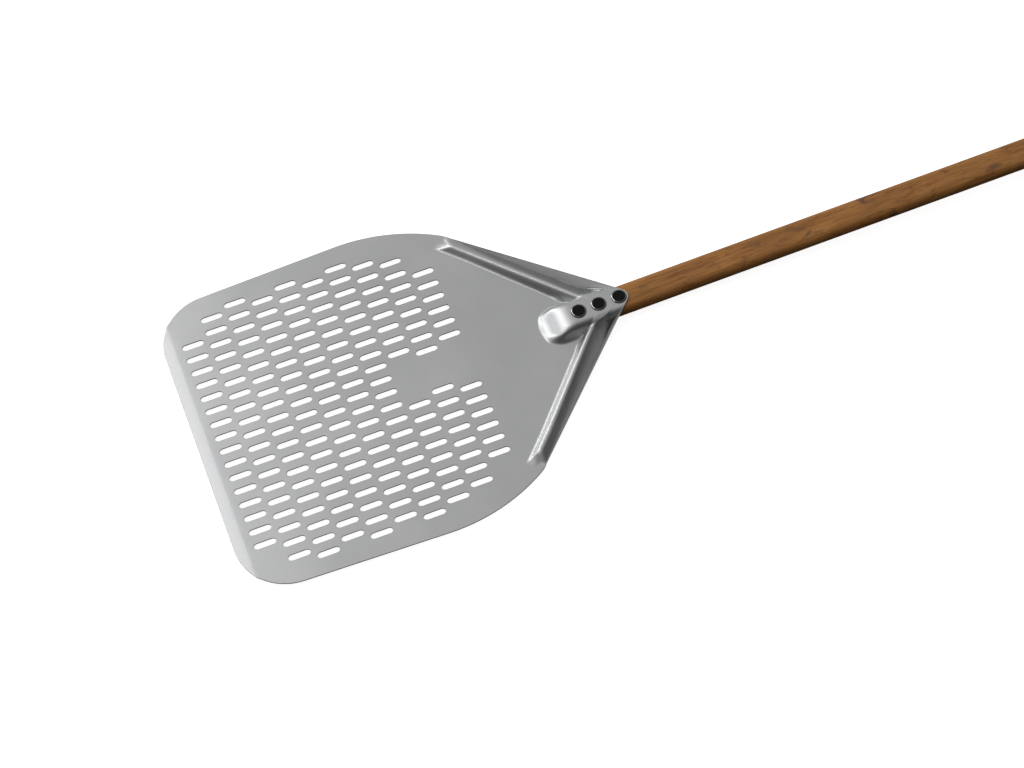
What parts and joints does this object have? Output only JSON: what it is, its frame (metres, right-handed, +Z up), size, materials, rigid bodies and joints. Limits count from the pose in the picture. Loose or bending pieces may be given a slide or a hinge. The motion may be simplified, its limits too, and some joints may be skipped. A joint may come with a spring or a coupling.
{
  "type": "pizza peel",
  "caption": "Rounded rectangular perforated sheet blade with two pressed shoulder ribs, riveted to a long flat-oval wood-grain handle with a hanging hole.",
  "frame": {"origin": "on the blade's flat underside, on the centreline, at the middle of the fifth column of slots", "axes": "+X from the blade towards the end of the handle, +Y across the blade, +Z up out of the blade's upper face"},
  "size_m": [1.0555, 0.3312, 0.0299],
  "materials": {
    "blade_sheet": "satin brushed",
    "handle_wood_grain": "satin wood-grain coating",
    "core_plastic": "matte",
    "black_rivet": "gloss black",
    "washer_steel": "zinc plated",
    "cap_plastic": "fine matte"
  },
  "bodies": {
    "root": {"blade": "blade_sheet", "handle_tube": "handle_wood_grain", "tube_core": "core_plastic", "rivet_front": "black_rivet", "rivet_middle": "black_rivet", "rivet_rear": "black_rivet", "washer_front": "washer_steel", "washer_middle": "washer_steel", "washer_rear": "washer_steel", "end_cap": "cap_plastic", "cap_pin": "washer_steel"}
  },
  "joints": []
}
